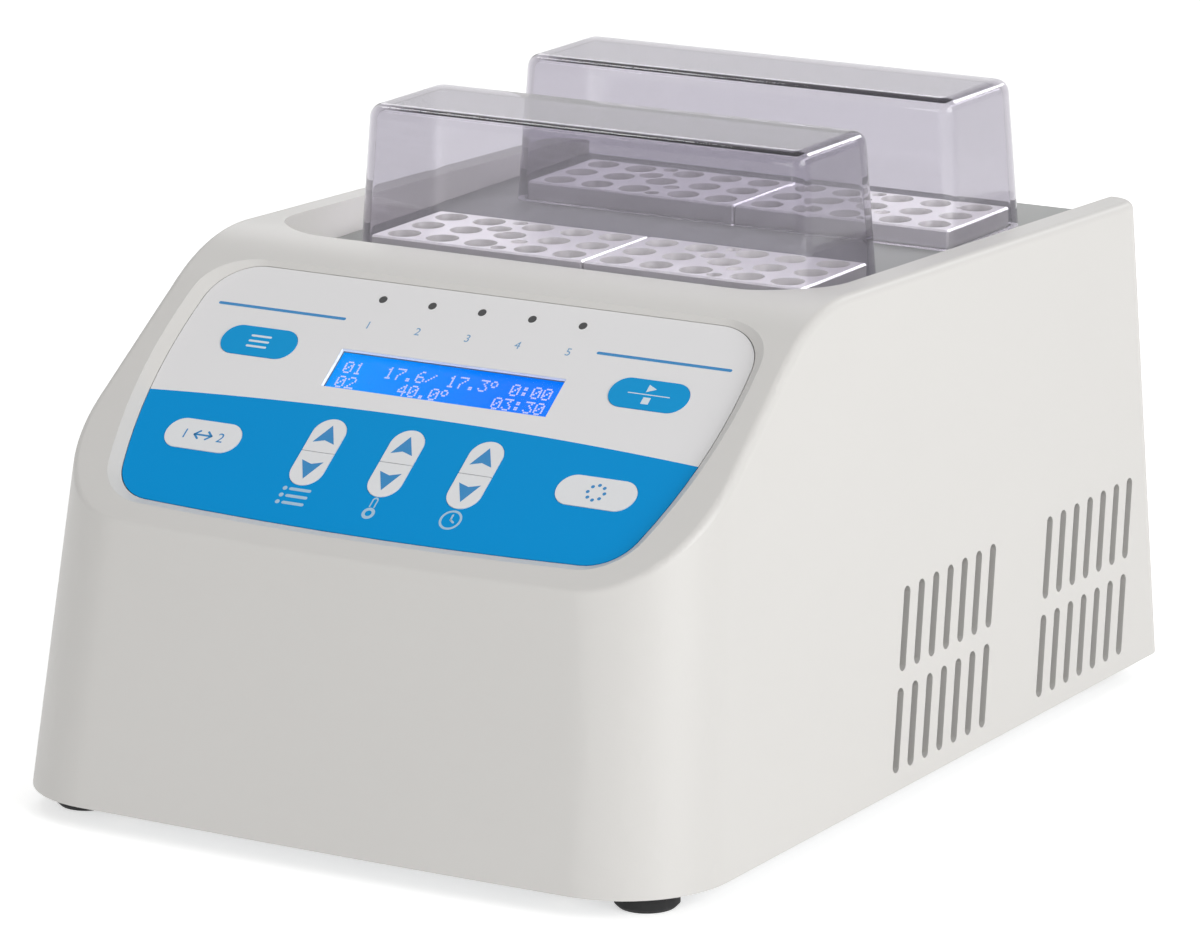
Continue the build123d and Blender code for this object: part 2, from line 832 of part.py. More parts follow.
with BuildPart() as membrane_circuit:
    extrude(overlay_face(pocket_floor), amount=circuit_thickness)
    with BuildSketch(panel.offset(pocket_floor)):
        with Locations((0, window_y)):
            Rectangle(window_width, window_height)
    extrude(amount=circuit_thickness, mode=Mode.SUBTRACT)
save(membrane_circuit.part, "membrane_circuit")

with BuildPart() as key_domes:
    with BuildSketch(panel.offset(-overlay_thickness)):
        with Locations(*dome_points):
            Circle(dome_diameter / 2)
    extrude(amount=dome_rim)
    with BuildSketch(panel.offset(-overlay_thickness)):
        with Locations(*dome_points):
            Circle(dome_crown_diameter / 2)
    extrude(amount=dome_height)
save(key_domes.part, "key_domes")

for name, place in round_keys.items():
    with BuildPart() as key:
        with BuildSketch(panel.offset(key_proud - key_thickness)):
            with Locations(place):
                SlotOverall(key_width, key_height)
        extrude(amount=key_thickness)
    save(key.part, name)

for name, across in pill_keys.items():
    for way, side in (("up", 1), ("down", -1)):
        with BuildPart() as key:
            with BuildSketch(panel.offset(key_proud - key_thickness)):
                with Locations((across, lower_key_y)):
                    SlotOverall(pill_length, pill_width, rotation=90)
                with Locations((across, lower_key_y + side * (pill_length + key_split) / 2)):
                    Rectangle(pill_width, pill_length, mode=Mode.INTERSECT)
            extrude(amount=key_thickness)
        save(key.part, f"{name}_{way}_key")

with BuildPart() as status_lamps:
    with BuildSketch(panel.offset(-overlay_thickness)):
        with Locations(*lamp_places):
            Circle(lamp_diameter / 2)
    extrude(amount=overlay_thickness)
save(status_lamps.part, "status_lamps")

# Display: window pane, glass in its bezel, board and standoffs
with BuildPart() as display_window:
    with BuildSketch(panel.offset(pocket_floor)):
        with Locations((0, window_y)):
            Rectangle(window_width - 2 * glass_gap, window_height - 2 * glass_gap)
    extrude(amount=-pocket_floor - window_sink)
save(display_window.part, "display_window")

with BuildPart() as display_bezel:
    with BuildSketch(panel.offset(pocket_floor)):
        with Locations((0, window_y)):
            Rectangle(bezel_width, bezel_height)
    extrude(amount=-bezel_depth)
    with BuildSketch(panel.offset(pocket_floor)):
        with Locations((0, window_y)):
            Rectangle(glass_width, glass_height)
    extrude(amount=-(glass_thickness + glass_gap), mode=Mode.SUBTRACT)
save(display_bezel.part, "display_bezel")

with BuildPart() as display_glass:
    with BuildSketch(panel.offset(pocket_floor - glass_gap)):
        with Locations((0, window_y)):
            Rectangle(glass_width - 2 * glass_gap, glass_height - 2 * glass_gap)
    extrude(amount=-glass_thickness)
save(display_glass.part, "display_glass")

with BuildPart() as display_board:
    with BuildSketch(panel.offset(pocket_floor - bezel_depth)):
        with Locations((0, window_y)):
            Rectangle(display_board_width, display_board_height)
            with GridLocations(display_board_width - 7, display_board_height - 7, 2, 2):
                Circle(standoff_bore / 2, mode=Mode.SUBTRACT)
    extrude(amount=-board_thickness)
save(display_board.part, "display_board")

with BuildPart() as display_standoffs:
    with BuildSketch(panel.offset(panel_back)):
        with Locations((0, window_y)):
            with GridLocations(display_board_width - 7, display_board_height - 7, 2, 2):
                Circle(standoff_diameter / 2)
                Circle(standoff_bore / 2, mode=Mode.SUBTRACT)
    extrude(amount=pocket_floor - bezel_depth - panel_back)
save(display_standoffs.part, "display_standoffs")

# Control board on standoffs, with its components
control_y = front_y + control_setback
control_top = base_top + board_lift + board_thickness
with BuildPart() as control_board:
    with BuildSketch(Plane(origin=(control_x, control_y, control_top))):
        Rectangle(control_width, control_depth)
        with GridLocations(control_width - 8, control_depth - 8, 2, 2):
            Circle(screw_shank / 2, mode=Mode.SUBTRACT)
    extrude(amount=-board_thickness)
save(control_board.part, "control_board")

with BuildPart() as board_standoffs:
    with BuildSketch(Plane(origin=(control_x, control_y, base_top))):
        with GridLocations(control_width - 8, control_depth - 8, 2, 2):
            RegularPolygon(standoff_diameter / 2, 6, major_radius=False)
    extrude(amount=board_lift)
save(board_standoffs.part, "board_standoffs")

# Relays, capacitors, driver cooler, processor, terminals: place on the board, size, height
block_components = [
    (-36, 26, 19, 15, 15),
    (-12, 26, 19, 15, 15),
    (14, 28, 26, 10, 24),
    (-2, -6, 12, 12, 1.4),
    (34, -30, 22, 11, 11),
    (-34, -31, 18, 8, 9),
]
round_components = [(-38, -2, 12, 21), (-22, -14, 10, 17), (38, 8, 16, 25)]
with BuildPart() as board_components:
    for across, along, wide, deep, tall in block_components:
        with BuildSketch(Plane(origin=(control_x + across, control_y + along, control_top))):
            Rectangle(wide, deep)
        extrude(amount=tall)
    for across, along, wide, tall in round_components:
        with BuildSketch(Plane(origin=(control_x + across, control_y + along, control_top))):
            Circle(wide / 2)
        extrude(amount=tall)
save(board_components.part, "board_components")

# Flat ribbon from the display board down to the control board
board_back = pocket_floor - bezel_depth - board_thickness
ribbon_start = panel_point(window_y - ribbon_drop, board_back)
ribbon_turn = panel_point(window_y - ribbon_drop, board_back - ribbon_lead)
with BuildPart() as panel_ribbon:
    with BuildSketch(Plane.YZ.offset(control_x - control_width / 2 + ribbon_inset)) as ribbon_path:
        with BuildLine() as ribbon_line:
            FilletPolyline(ribbon_start, ribbon_turn, (ribbon_turn[0], control_top), radius=ribbon_bend)
        trace(line_width=ribbon_thickness)
    extrude(amount=ribbon_width)
    with BuildSketch(Plane.XY.offset(control_top)):
        with Locations((control_x - control_width / 2 + ribbon_inset + ribbon_width / 2, ribbon_turn[0])):
            Rectangle(ribbon_width + 2, header_depth)
    extrude(amount=header_height)
    keep_above = Plane.XY.offset(control_top)
    split(bisect_by=keep_above, keep=Keep.TOP)
    split(bisect_by=panel.offset(board_back), keep=Keep.BOTTOM)
save(panel_ribbon.part, "panel_ribbon")

# Mains power supply on the base plate
supply_y = front_y + supply_setback
with BuildPart() as power_supply:
    with BuildSketch(Plane(origin=(supply_x, supply_y, base_top))):
        Rectangle(supply_width, supply_depth)
    extrude(amount=supply_height)
    fillet(power_supply.edges().filter_by(Axis.Z), 1)
    # Recess of the screw terminals at the rear end
    with BuildSketch(Plane(origin=(supply_x, supply_y + supply_depth / 2, base_top + supply_height))):
        Rectangle(supply_width - 20, 24)
    extrude(amount=-supply_height / 2, mode=Mode.SUBTRACT)
    with BuildSketch(Plane(origin=(supply_x, supply_y - 10, base_top + supply_height))):
        with GridLocations(7, 0, 11, 1):
            SlotOverall(30, 3, rotation=90)
    extrude(amount=-1, mode=Mode.SUBTRACT)
save(power_supply.part, "power_supply")

# Rear panel and the fittings in it; its plane looks to the rear with X mirrored out
rear_plane = Plane(origin=(0, rear_y, 0), x_dir=(1, 0, 0), z_dir=(0, -1, 0))
with BuildPart() as rear_panel:
    with BuildSketch(rear_plane):
        with Locations((0, rear_panel_centre)):
            RectangleRounded(rear_panel_width, rear_panel_height, rear_panel_corner)
            with GridLocations(rear_panel_width - rear_lip, rear_panel_height - rear_lip, 2, 2):
                Circle(panel_screw_shank / 2 + screw_play, mode=Mode.SUBTRACT)
        with Locations((inlet_x, inlet_z)):
            Rectangle(inlet_width - 5, inlet_height - 5, mode=Mode.SUBTRACT)
        with Locations((switch_x, switch_z)):
            Rectangle(switch_width - 3, switch_height - 3, mode=Mode.SUBTRACT)
        with Locations((port_x, port_z)):
            Rectangle(port_shell_width + 2, port_height - 2, mode=Mode.SUBTRACT)
    extrude(amount=rear_panel_thickness)
save(rear_panel.part, "rear_panel")

with BuildPart() as rear_panel_screws:
    with BuildSketch(rear_plane):
        with Locations((0, rear_panel_centre)):
            with GridLocations(rear_panel_width - rear_lip, rear_panel_height - rear_lip, 2, 2):
                Circle(panel_screw_head / 2)
    extrude(amount=-flange_thickness)
    with BuildSketch(rear_plane):
        with Locations((0, rear_panel_centre)):
            with GridLocations(rear_panel_width - rear_lip, rear_panel_height - rear_lip, 2, 2):
                Circle(panel_screw_shank / 2)
    extrude(amount=rear_panel_thickness)
save(rear_panel_screws.part, "rear_panel_screws")

# Inlet body: flange, socket with a core around the pins, and a slot for the fuse drawer
with BuildPart() as power_inlet:
    with BuildSketch(rear_plane):
        with Locations((inlet_x, inlet_z)):
            RectangleRounded(inlet_width, inlet_height, 2)
    extrude(amount=-flange_thickness)
    with BuildSketch(rear_plane):
        with Locations((inlet_x, inlet_z)):
            Rectangle(inlet_width - 5 - 2 * fit_gap, inlet_height - 5 - 2 * fit_gap)
    extrude(amount=inlet_depth)
    with BuildSketch(rear_plane.offset(-flange_thickness)):
        with Locations((inlet_x, inlet_z - socket_drop)):
            Rectangle(socket_width, socket_height)
    extrude(amount=socket_depth, mode=Mode.SUBTRACT)
    with BuildSketch(rear_plane.offset(-flange_thickness)):
        with Locations((inlet_x, inlet_z + drawer_rise)):
            Rectangle(drawer_width + 2 * fit_gap, drawer_height + 2 * fit_gap)
    extrude(amount=drawer_depth + fit_gap, mode=Mode.SUBTRACT)
save(power_inlet.part, "power_inlet")

pin_places = [
    (inlet_x - pin_spread, inlet_z - socket_drop - pin_offset),
    (inlet_x + pin_spread, inlet_z - socket_drop - pin_offset),
    (inlet_x, inlet_z - socket_drop + pin_offset),
]
with BuildPart() as inlet_pins:
    with BuildSketch(rear_plane.offset(socket_depth - flange_thickness)):
        with Locations(*pin_places):
            Rectangle(pin_width, pin_height)
    extrude(amount=-pin_length)
save(inlet_pins.part, "inlet_pins")

with BuildPart() as fuse_drawer:
    with BuildSketch(rear_plane.offset(-flange_thickness)):
        with Locations((inlet_x, inlet_z + drawer_rise)):
            Rectangle(drawer_width, drawer_height)
    extrude(amount=drawer_depth)
    with BuildSketch(rear_plane.offset(-flange_thickness)):
        with Locations((inlet_x, inlet_z + drawer_rise)):
            Rectangle(drawer_width / 3, drawer_height - 2)
    extrude(amount=-drawer_grip)
    # Two bays for the fuses, open to above when the drawer is out
    with BuildSketch(Plane(origin=(inlet_x, rear_y - drawer_depth / 2, inlet_z + drawer_rise + drawer_height / 2))):
        with GridLocations(drawer_width / 2, 0, 2, 1):
            Rectangle(drawer_width / 2 - 3, drawer_depth - 6)
    extrude(amount=-(drawer_height - 2), mode=Mode.SUBTRACT)
save(fuse_drawer.part, "fuse_drawer")

# Mains switch: frame, and a rocker that turns about a pin in the frame's sides
pocket_half = rocker_height / 2 + 1.5
with BuildPart() as power_switch:
    with BuildSketch(rear_plane):
        with Locations((switch_x, switch_z)):
            RectangleRounded(switch_width, switch_height, 1.5)
    extrude(amount=-flange_thickness)
    with BuildSketch(rear_plane):
        with Locations((switch_x, switch_z)):
            Rectangle(switch_width - 3 - 2 * fit_gap, switch_height - 3 - 2 * fit_gap)
    extrude(amount=switch_depth)
    with BuildSketch(rear_plane.offset(-flange_thickness)):
        with Locations((switch_x, switch_z)):
            Rectangle(rocker_width + 2 * fit_gap, 2 * pocket_half)
    extrude(amount=flange_thickness + rocker_sink, mode=Mode.SUBTRACT)
    with BuildSketch(Plane.YZ.offset(switch_x)):
        with Locations((rear_y, switch_z)):
            Circle(rocker_pivot / 2 + shaft_play)
    extrude(amount=rocker_width / 2 + fit_gap + pivot_reach + 0.2, both=True, mode=Mode.SUBTRACT)
save(power_switch.part, "power_switch")

with BuildPart() as power_rocker:
    tilted = Plane(origin=(switch_x, rear_y, switch_z), x_dir=(0, 1, 0), z_dir=(1, 0, 0)).rotated((-rocker_tilt, 0, 0))
    with BuildSketch(tilted):
        with BuildLine():
            Polyline(
                (-rocker_body, -rocker_height / 2 + 2),
                (rocker_crest, -rocker_height / 2),
                (rocker_waist, 0),
                (rocker_crest, rocker_height / 2),
                (-rocker_body, rocker_height / 2 - 2),
                close=True,
            )
        make_face()
    extrude(amount=rocker_width / 2, both=True)
    with BuildSketch(tilted):
        Circle(rocker_pivot / 2)
    extrude(amount=rocker_width / 2 + fit_gap + pivot_reach, both=True)
save(power_rocker.part, "power_rocker")

# Data connector
with BuildPart() as data_port:
    with BuildSketch(rear_plane):
        with Locations((port_x, port_z)):
            RectangleRounded(port_width, port_height, 1)
    extrude(amount=-port_plate)
    with BuildSketch(rear_plane):
        with Locations((port_x, port_z)):
            Rectangle(port_shell_width, port_shell_height)
    extrude(amount=-rear_reach)
    with BuildSketch(rear_plane):
        with Locations((port_x, port_z)):
            Rectangle(port_shell_width + 1, port_height - 3)
    extrude(amount=port_depth)
    with BuildSketch(rear_plane.offset(-rear_reach)):
        with Locations((port_x, port_z + port_pin_pitch / 2)):
            with GridLocations(port_pin_pitch, 0, 5, 1):
                Circle(port_pin_hole / 2)
        with Locations((port_x, port_z - port_pin_pitch / 2)):
            with GridLocations(port_pin_pitch, 0, 4, 1):
                Circle(port_pin_hole / 2)
    extrude(amount=rear_reach - 1, mode=Mode.SUBTRACT)
save(data_port.part, "data_port")

# Mains leads from the rear fittings along the left-hand side to the power supply
harness_z = base_top + harness_diameter / 2 + fit_gap
harness_rear = rear_y - inlet_depth
supply_rear = supply_y + supply_depth / 2
harness_route = [
    (inlet_x, harness_rear, inlet_z - harness_drop),
    (inlet_x, harness_rear - 18, inlet_z - harness_drop),
    (inlet_x, bath_y["rear"], harness_z),
    (harness_x, bath_y["rear"], harness_z),
    (harness_x, supply_rear + harness_turn, harness_z),
    (supply_x - supply_terminal_x, supply_rear + harness_turn, harness_z),
    (supply_x - supply_terminal_x, supply_rear, harness_z),
]
with BuildPart() as mains_leads:
    with BuildLine() as lead_line:
        FilletPolyline(*harness_route, radius=harness_bend)
    with BuildSketch(Plane(origin=lead_line.line @ 0, z_dir=lead_line.line % 0)):
        Circle(harness_diameter / 2)
    sweep()
save(mains_leads.part, "mains_leads")
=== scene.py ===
import bmesh
import bpy
import json
import math
from mathutils import Matrix, Vector

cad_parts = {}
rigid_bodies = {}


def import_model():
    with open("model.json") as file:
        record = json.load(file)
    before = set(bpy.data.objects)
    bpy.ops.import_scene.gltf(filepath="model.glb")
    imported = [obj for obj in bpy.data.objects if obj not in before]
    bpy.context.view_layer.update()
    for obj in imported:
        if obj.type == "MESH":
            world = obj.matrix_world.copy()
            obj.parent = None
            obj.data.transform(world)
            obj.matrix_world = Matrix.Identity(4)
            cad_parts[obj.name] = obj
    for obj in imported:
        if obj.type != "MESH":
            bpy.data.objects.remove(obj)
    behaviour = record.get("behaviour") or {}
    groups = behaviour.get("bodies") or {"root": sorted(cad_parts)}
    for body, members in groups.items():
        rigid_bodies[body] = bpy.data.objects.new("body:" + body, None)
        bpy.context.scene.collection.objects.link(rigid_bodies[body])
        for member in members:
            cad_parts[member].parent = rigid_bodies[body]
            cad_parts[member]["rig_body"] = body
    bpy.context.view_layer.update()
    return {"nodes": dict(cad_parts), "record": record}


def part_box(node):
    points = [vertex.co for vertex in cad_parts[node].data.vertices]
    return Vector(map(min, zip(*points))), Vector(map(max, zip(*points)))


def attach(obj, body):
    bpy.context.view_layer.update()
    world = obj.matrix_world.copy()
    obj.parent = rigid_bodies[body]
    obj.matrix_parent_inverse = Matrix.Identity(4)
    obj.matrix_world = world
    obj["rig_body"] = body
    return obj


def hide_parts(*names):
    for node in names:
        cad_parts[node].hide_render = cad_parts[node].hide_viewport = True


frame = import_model()
nodes = frame["nodes"]
mm = 0.001
print("frame loaded with", len(nodes), "nodes")


# Materials. One function adds a node, one turns a written colour to linear
def addNode(tree, kind, inputs=None, **settings):
    node = tree.nodes.new(kind)
    for setting, value in settings.items():
        setattr(node, setting, value)
    for socket, value in (inputs or {}).items():
        if isinstance(value, bpy.types.NodeSocket):
            tree.links.new(value, node.inputs[socket])
        else:
            node.inputs[socket].default_value = value
    return node


def linearColour(code):
    channels = [int(code[i:i + 2], 16) / 255 for i in (1, 3, 5)]
    return [c / 12.92 if c <= 0.04045 else ((c + 0.055) / 1.055) ** 2.4 for c in channels] + [1.0]


def startMaterial(name, colour, roughness, metallic=0.0):
    material = bpy.data.materials.new(name)
    material.use_nodes = True
    tree = material.node_tree
    tree.nodes.clear()
    shader = addNode(tree, "ShaderNodeBsdfPrincipled", {
        "Base Color": linearColour(colour), "Roughness": roughness, "Metallic": metallic})
    addNode(tree, "ShaderNodeOutputMaterial", {"Surface": shader.outputs["BSDF"]})
    return material, tree, shader


def objectPoint(tree):
    return addNode(tree, "ShaderNodeTexCoord").outputs["Object"]


def addGrain(tree, shader, grain, depth, strength, stretch=(1, 1, 1)):
    # Fine relief: grain is the size of one bump and depth its height, both in millimetres
    point = addNode(tree, "ShaderNodeMapping", {"Vector": objectPoint(tree), "Scale": stretch})
    noise = addNode(tree, "ShaderNodeTexNoise", {
        "Vector": point.outputs["Vector"], "Scale": 1 / (grain * mm), "Detail": 3.0, "Roughness": 0.6})
    bump = addNode(tree, "ShaderNodeBump", {
        "Height": noise.outputs["Fac"], "Distance": depth * mm, "Strength": strength})
    tree.links.new(bump.outputs["Normal"], shader.inputs["Normal"])
    return noise


def addShade(tree, shader, first, second, patch, socket="Base Color"):
    # Slow drift between two near colours, patch is its size in millimetres
    noise = addNode(tree, "ShaderNodeTexNoise", {"Vector": objectPoint(tree), "Scale": 1 / (patch * mm), "Detail": 2.0})
    mix = addNode(tree, "ShaderNodeMix", {"Factor": noise.outputs["Fac"]}, data_type="RGBA")
    mix.inputs[6].default_value = linearColour(first)
    mix.inputs[7].default_value = linearColour(second)
    tree.links.new(mix.outputs[2], shader.inputs[socket])
    return mix


def addWear(tree, shader, low, high, patch):
    # Roughness that drifts between two values, as handling leaves it
    noise = addNode(tree, "ShaderNodeTexNoise", {"Vector": objectPoint(tree), "Scale": 1 / (patch * mm), "Detail": 4.0})
    band = addNode(tree, "ShaderNodeMapRange", {
        "Value": noise.outputs["Fac"], "From Min": 0.3, "From Max": 0.7, "To Min": low, "To Max": high})
    tree.links.new(band.outputs["Result"], shader.inputs["Roughness"])


materials = {}


def finishMaterial(slot, material):
    materials[slot] = material


# ABS, injection moulded in a spark-eroded mould: off-white with a fine satin grain
material, tree, shader = startMaterial("mouldedAbs", "#DAD8D5", 0.42)
addShade(tree, shader, "#DBD9D6", "#D8D6D3", 90)
addGrain(tree, shader, 0.7, 0.05, 0.35)
finishMaterial("housing_plastic", material)

# Zinc plated steel sheet: cold grey with faint cloudy patches
material, tree, shader = startMaterial("zincSheet", "#9FA1A3", 0.4, 0.9)
addShade(tree, shader, "#A6A8AA", "#94979A", 14)
addWear(tree, shader, 0.32, 0.5, 20)
finishMaterial("base_metal", material)

# Steel deck with a grey powder coat: matte, with orange-peel relief
material, tree, shader = startMaterial("powderCoat", "#A4A5A4", 0.5)
addShade(tree, shader, "#A7A8A7", "#A0A2A1", 60)
addGrain(tree, shader, 1.1, 0.05, 0.4)
finishMaterial("deck_metal", material)

# Natural rubber, moulded: black and matte, with faint lighter patches
material, tree, shader = startMaterial("mouldedRubber", "#1B1B1C", 0.75)
addShade(tree, shader, "#18181A", "#242425", 5)
addGrain(tree, shader, 0.5, 0.05, 0.4)
finishMaterial("foot_rubber", material)

# Closed-cell foam: cream, soft, full of small cells
material, tree, shader = startMaterial("cellFoam", "#E4DFCF", 0.9)
addGrain(tree, shader, 1.6, 0.4, 0.8)
finishMaterial("foam", material)

# Glass-fibre epoxy board under green solder mask
material, tree, shader = startMaterial("solderMask", "#0B4A2A", 0.3)
addShade(tree, shader, "#0B4F2C", "#083D22", 9)
addGrain(tree, shader, 0.8, 0.03, 0.5)
finishMaterial("board_green", material)

# Nylon, moulded black: fine satin grain
material, tree, shader = startMaterial("blackNylon", "#232325", 0.42)
addShade(tree, shader, "#262628", "#1E1E20", 12)
addGrain(tree, shader, 0.5, 0.04, 0.4)
finishMaterial("black_plastic", material)

# Alumina plates of the thermoelectric modules
material, tree, shader = startMaterial("aluminaCeramic", "#ECEBE4", 0.35)
addGrain(tree, shader, 0.6, 0.02, 0.4)
finishMaterial("white_ceramic", material)

# PVC cable sheath
material, tree, shader = startMaterial("cableSheath", "#5A5B5D", 0.45)
addShade(tree, shader, "#5F6062", "#535456", 7)
finishMaterial("grey_cable", material)

# Extruded aluminium: die lines run along X
material, tree, shader = startMaterial("extrudedAluminium", "#C6C7C9", 0.36, 1.0)
addGrain(tree, shader, 0.5, 0.03, 0.5, (0.02, 1, 1))
finishMaterial("plain_aluminium", material)

# Turned and zinc plated screw steel
material, tree, shader = startMaterial("screwSteel", "#B9B8B5", 0.28, 1.0)
addWear(tree, shader, 0.22, 0.38, 2)
finishMaterial("screw_steel", material)

# Brass contacts and spacers
material, tree, shader = startMaterial("turnedBrass", "#C9A75C", 0.3, 1.0)
addWear(tree, shader, 0.22, 0.4, 2)
finishMaterial("brass_pins", material)

# Machined aluminium, clear anodised: bright and silky, milling lines run along X
material, tree, shader = startMaterial("anodisedAluminium", "#FBFAF8", 0.32, 0.7)
addGrain(tree, shader, 0.45, 0.02, 0.2, (0.05, 1, 1))
finishMaterial("block_aluminium", material)

# Panel film: polyester printed from behind, white above and blue below a slow curve
print_ = {"white": "#F3F2F3", "blue": "#009AE2", "middle": 43.5, "rise": 3.6, "half": 99.0}
panel = {"tilt": math.radians(36.6), "origin": Vector((0, -69.5, 154.4)) * mm}
panelUp = Vector((0, math.cos(panel["tilt"]), math.sin(panel["tilt"])))
panelOut = Vector((0, -math.sin(panel["tilt"]), math.cos(panel["tilt"])))
material, tree, shader = startMaterial("printedPolyester", print_["white"], 0.3)
point = objectPoint(tree)
fromLamps = addNode(tree, "ShaderNodeVectorMath", {0: point, 1: panel["origin"]}, operation="SUBTRACT")
alongUp = addNode(tree, "ShaderNodeVectorMath", {0: fromLamps.outputs[0], 1: panelUp}, operation="DOT_PRODUCT")
across = addNode(tree, "ShaderNodeSeparateXYZ", {0: point})
share = addNode(tree, "ShaderNodeMath", {0: across.outputs["X"], 1: print_["half"] * mm}, operation="DIVIDE")
square = addNode(tree, "ShaderNodeMath", {0: share.outputs[0], 1: share.outputs[0]}, operation="MULTIPLY")
edge = addNode(tree, "ShaderNodeMath", {
    0: square.outputs[0], 1: -print_["rise"] * mm, 2: -print_["middle"] * mm}, operation="MULTIPLY_ADD")
below = addNode(tree, "ShaderNodeMath", {0: alongUp.outputs["Value"], 1: edge.outputs[0]}, operation="LESS_THAN")
ink = addNode(tree, "ShaderNodeMix", {"Factor": below.outputs[0]}, data_type="RGBA")
ink.inputs[6].default_value = linearColour(print_["white"])
ink.inputs[7].default_value = linearColour(print_["blue"])
tree.links.new(ink.outputs[2], shader.inputs["Base Color"])
shader.inputs["Specular IOR Level"].default_value = 0.05
addGrain(tree, shader, 0.6, 0.02, 0.25)
finishMaterial("overlay_film", material)

# The same film on the keys, printed one colour
for slot, name, colour in (("key_blue", "printedBlueFilm", "#14A0E2"), ("key_white", "printedWhiteFilm", "#F0F1F3")):
    material, tree, shader = startMaterial(name, colour, 0.3)
    shader.inputs["Specular IOR Level"].default_value = 0.05
    addGrain(tree, shader, 0.6, 0.02, 0.25)
    finishMaterial(slot, material)

# Screen inks
inks = {}
for name, colour in (("blueInk", "#0A86C6"), ("paleInk", "#A9CBE2"), ("whiteInk", "#DCE9F2"), ("mistInk", "#6FA3CC")):
    material, tree, shader = startMaterial(name, colour, 0.38)
    addWear(tree, shader, 0.32, 0.44, 3)
    inks[name] = material

# Backlit display glass: blue, lighter towards the lamp at the lower left
backlight = {"deep": "#007AFF", "bright": "#0898FF", "text": "#B4BCFF", "strength": 1.0}
material, tree, shader = startMaterial("backlitGlass", "#020A1E", 0.2)
shader.inputs["Specular IOR Level"].default_value = 0.1
point = objectPoint(tree)
parts = addNode(tree, "ShaderNodeSeparateXYZ", {0: point})
ramp = addNode(tree, "ShaderNodeMapRange", {
    "Value": parts.outputs["X"], "From Min": -0.042, "From Max": 0.02, "To Min": 1.0, "To Max": 0.0})
glow = addNode(tree, "ShaderNodeMix", {"Factor": ramp.outputs["Result"]}, data_type="RGBA")
glow.inputs[6].default_value = linearColour(backlight["deep"])
glow.inputs[7].default_value = linearColour(backlight["bright"])
tree.links.new(glow.outputs[2], shader.inputs["Emission Color"])
shader.inputs["Emission Strength"].default_value = backlight["strength"]
finishMaterial("display_blue", material)
material, tree, shader = startMaterial("litCharacter", "#20205A", 0.4)
shader.inputs["Emission Color"].default_value = linearColour(backlight["text"])
shader.inputs["Emission Strength"].default_value = 1.15
inks["litCharacter"] = material


# Clear plastics: cast shadows let most light through, as thin clear walls do
def clearMaterial(name, colour, roughness, ior, shadow, clearness=1.0):
    material, tree, shader = startMaterial(name, colour, roughness)
    shader.inputs["Transmission Weight"].default_value = clearness
    shader.inputs["IOR"].default_value = ior
    path = addNode(tree, "ShaderNodeLightPath")
    through = addNode(tree, "ShaderNodeBsdfTransparent", {"Color": linearColour(shadow)})
    mix = addNode(tree, "ShaderNodeMixShader", {
        0: path.outputs["Is Shadow Ray"], 1: shader.outputs["BSDF"], 2: through.outputs["BSDF"]})
    out = next(n for n in tree.nodes if n.type == "OUTPUT_MATERIAL")
    tree.links.new(mix.outputs["Shader"], out.inputs["Surface"])
    return material, shader


# Acrylic, injection moulded: clear with a faint lilac cast that deepens with thickness, and polished faces.
# Its own index is left low, since the walls are thin, and the coat gives the surface its real one
acrylic = {"tint": "#EDECEE", "density": 520.0, "index": 1.03, "coatIndex": 1.49, "coat": 0.9}
material, shader = clearMaterial("clearAcrylic", "#F2F1F5", 0.02, acrylic["index"], "#FFFFFF", 0.99)
tree = material.node_tree
path = addNode(tree, "ShaderNodeLightPath")
lit = addNode(tree, "ShaderNodeMath", {0: 1.0, 1: path.outputs["Is Shadow Ray"]}, operation="SUBTRACT")
density = addNode(tree, "ShaderNodeMath", {0: lit.outputs[0], 1: acrylic["density"]}, operation="MULTIPLY")
body = addNode(tree, "ShaderNodeVolumeAbsorption", {
    "Color": linearColour(acrylic["tint"]), "Density": density.outputs[0]})
out = next(n for n in tree.nodes if n.type == "OUTPUT_MATERIAL")
tree.links.new(body.outputs["Volume"], out.inputs["Volume"])
shader.inputs["Coat Weight"].default_value = acrylic["coat"]
shader.inputs["Coat IOR"].default_value = acrylic["coatIndex"]
shader.inputs["Coat Roughness"].default_value = 0.02
finishMaterial("clear_lid", material)
# Window of the display: clear polyester film
finishMaterial("window_clear", clearMaterial("clearFilm", "#F9FAFC", 0.05, 1.03, "#F2F4F8")[0])
print("materials made:", len(materials) + len(inks))


# Shared mesh helpers
def softenShading(mesh, angle):
    # Smooth shading between edges sharper than the angle, flat faces kept flat by their area
    table = bmesh.new()
    table.from_mesh(mesh)
    bmesh.ops.remove_doubles(table, verts=table.verts, dist=1e-6)
    for face in table.faces:
        face.smooth = True
    for edge in table.edges:
        edge.smooth = edge.is_manifold and edge.calc_face_angle(0) < angle
    table.to_mesh(mesh)
    table.free()
    mesh.update()


def weighNormals(piece):
    modifier = piece.modifiers.new("weigh", "WEIGHTED_NORMAL")
    modifier.keep_sharp = True
    modifier.weight = 100
    graph = bpy.context.evaluated_depsgraph_get()
    mesh = bpy.data.meshes.new_from_object(piece.evaluated_get(graph))
    piece.modifiers.remove(modifier)
    piece.data = mesh


def addPiece(name, mesh, material, body, replaced=()):
    piece = bpy.data.objects.new(name, mesh)
    bpy.context.scene.collection.objects.link(piece)
    mesh.materials.clear()
    mesh.materials.append(material)
    return settlePiece(piece, body, replaced)


def settlePiece(piece, body, replaced=()):
    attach(piece, body)
    if replaced:
        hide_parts(*replaced)
    return piece


def meshOfCurve(curve, place):
    holder = bpy.data.objects.new("holder", curve)
    bpy.context.scene.collection.objects.link(holder)
    graph = bpy.context.evaluated_depsgraph_get()
    mesh = bpy.data.meshes.new_from_object(holder.evaluated_get(graph))
    bpy.data.objects.remove(holder)
    mesh.transform(place)
    return mesh


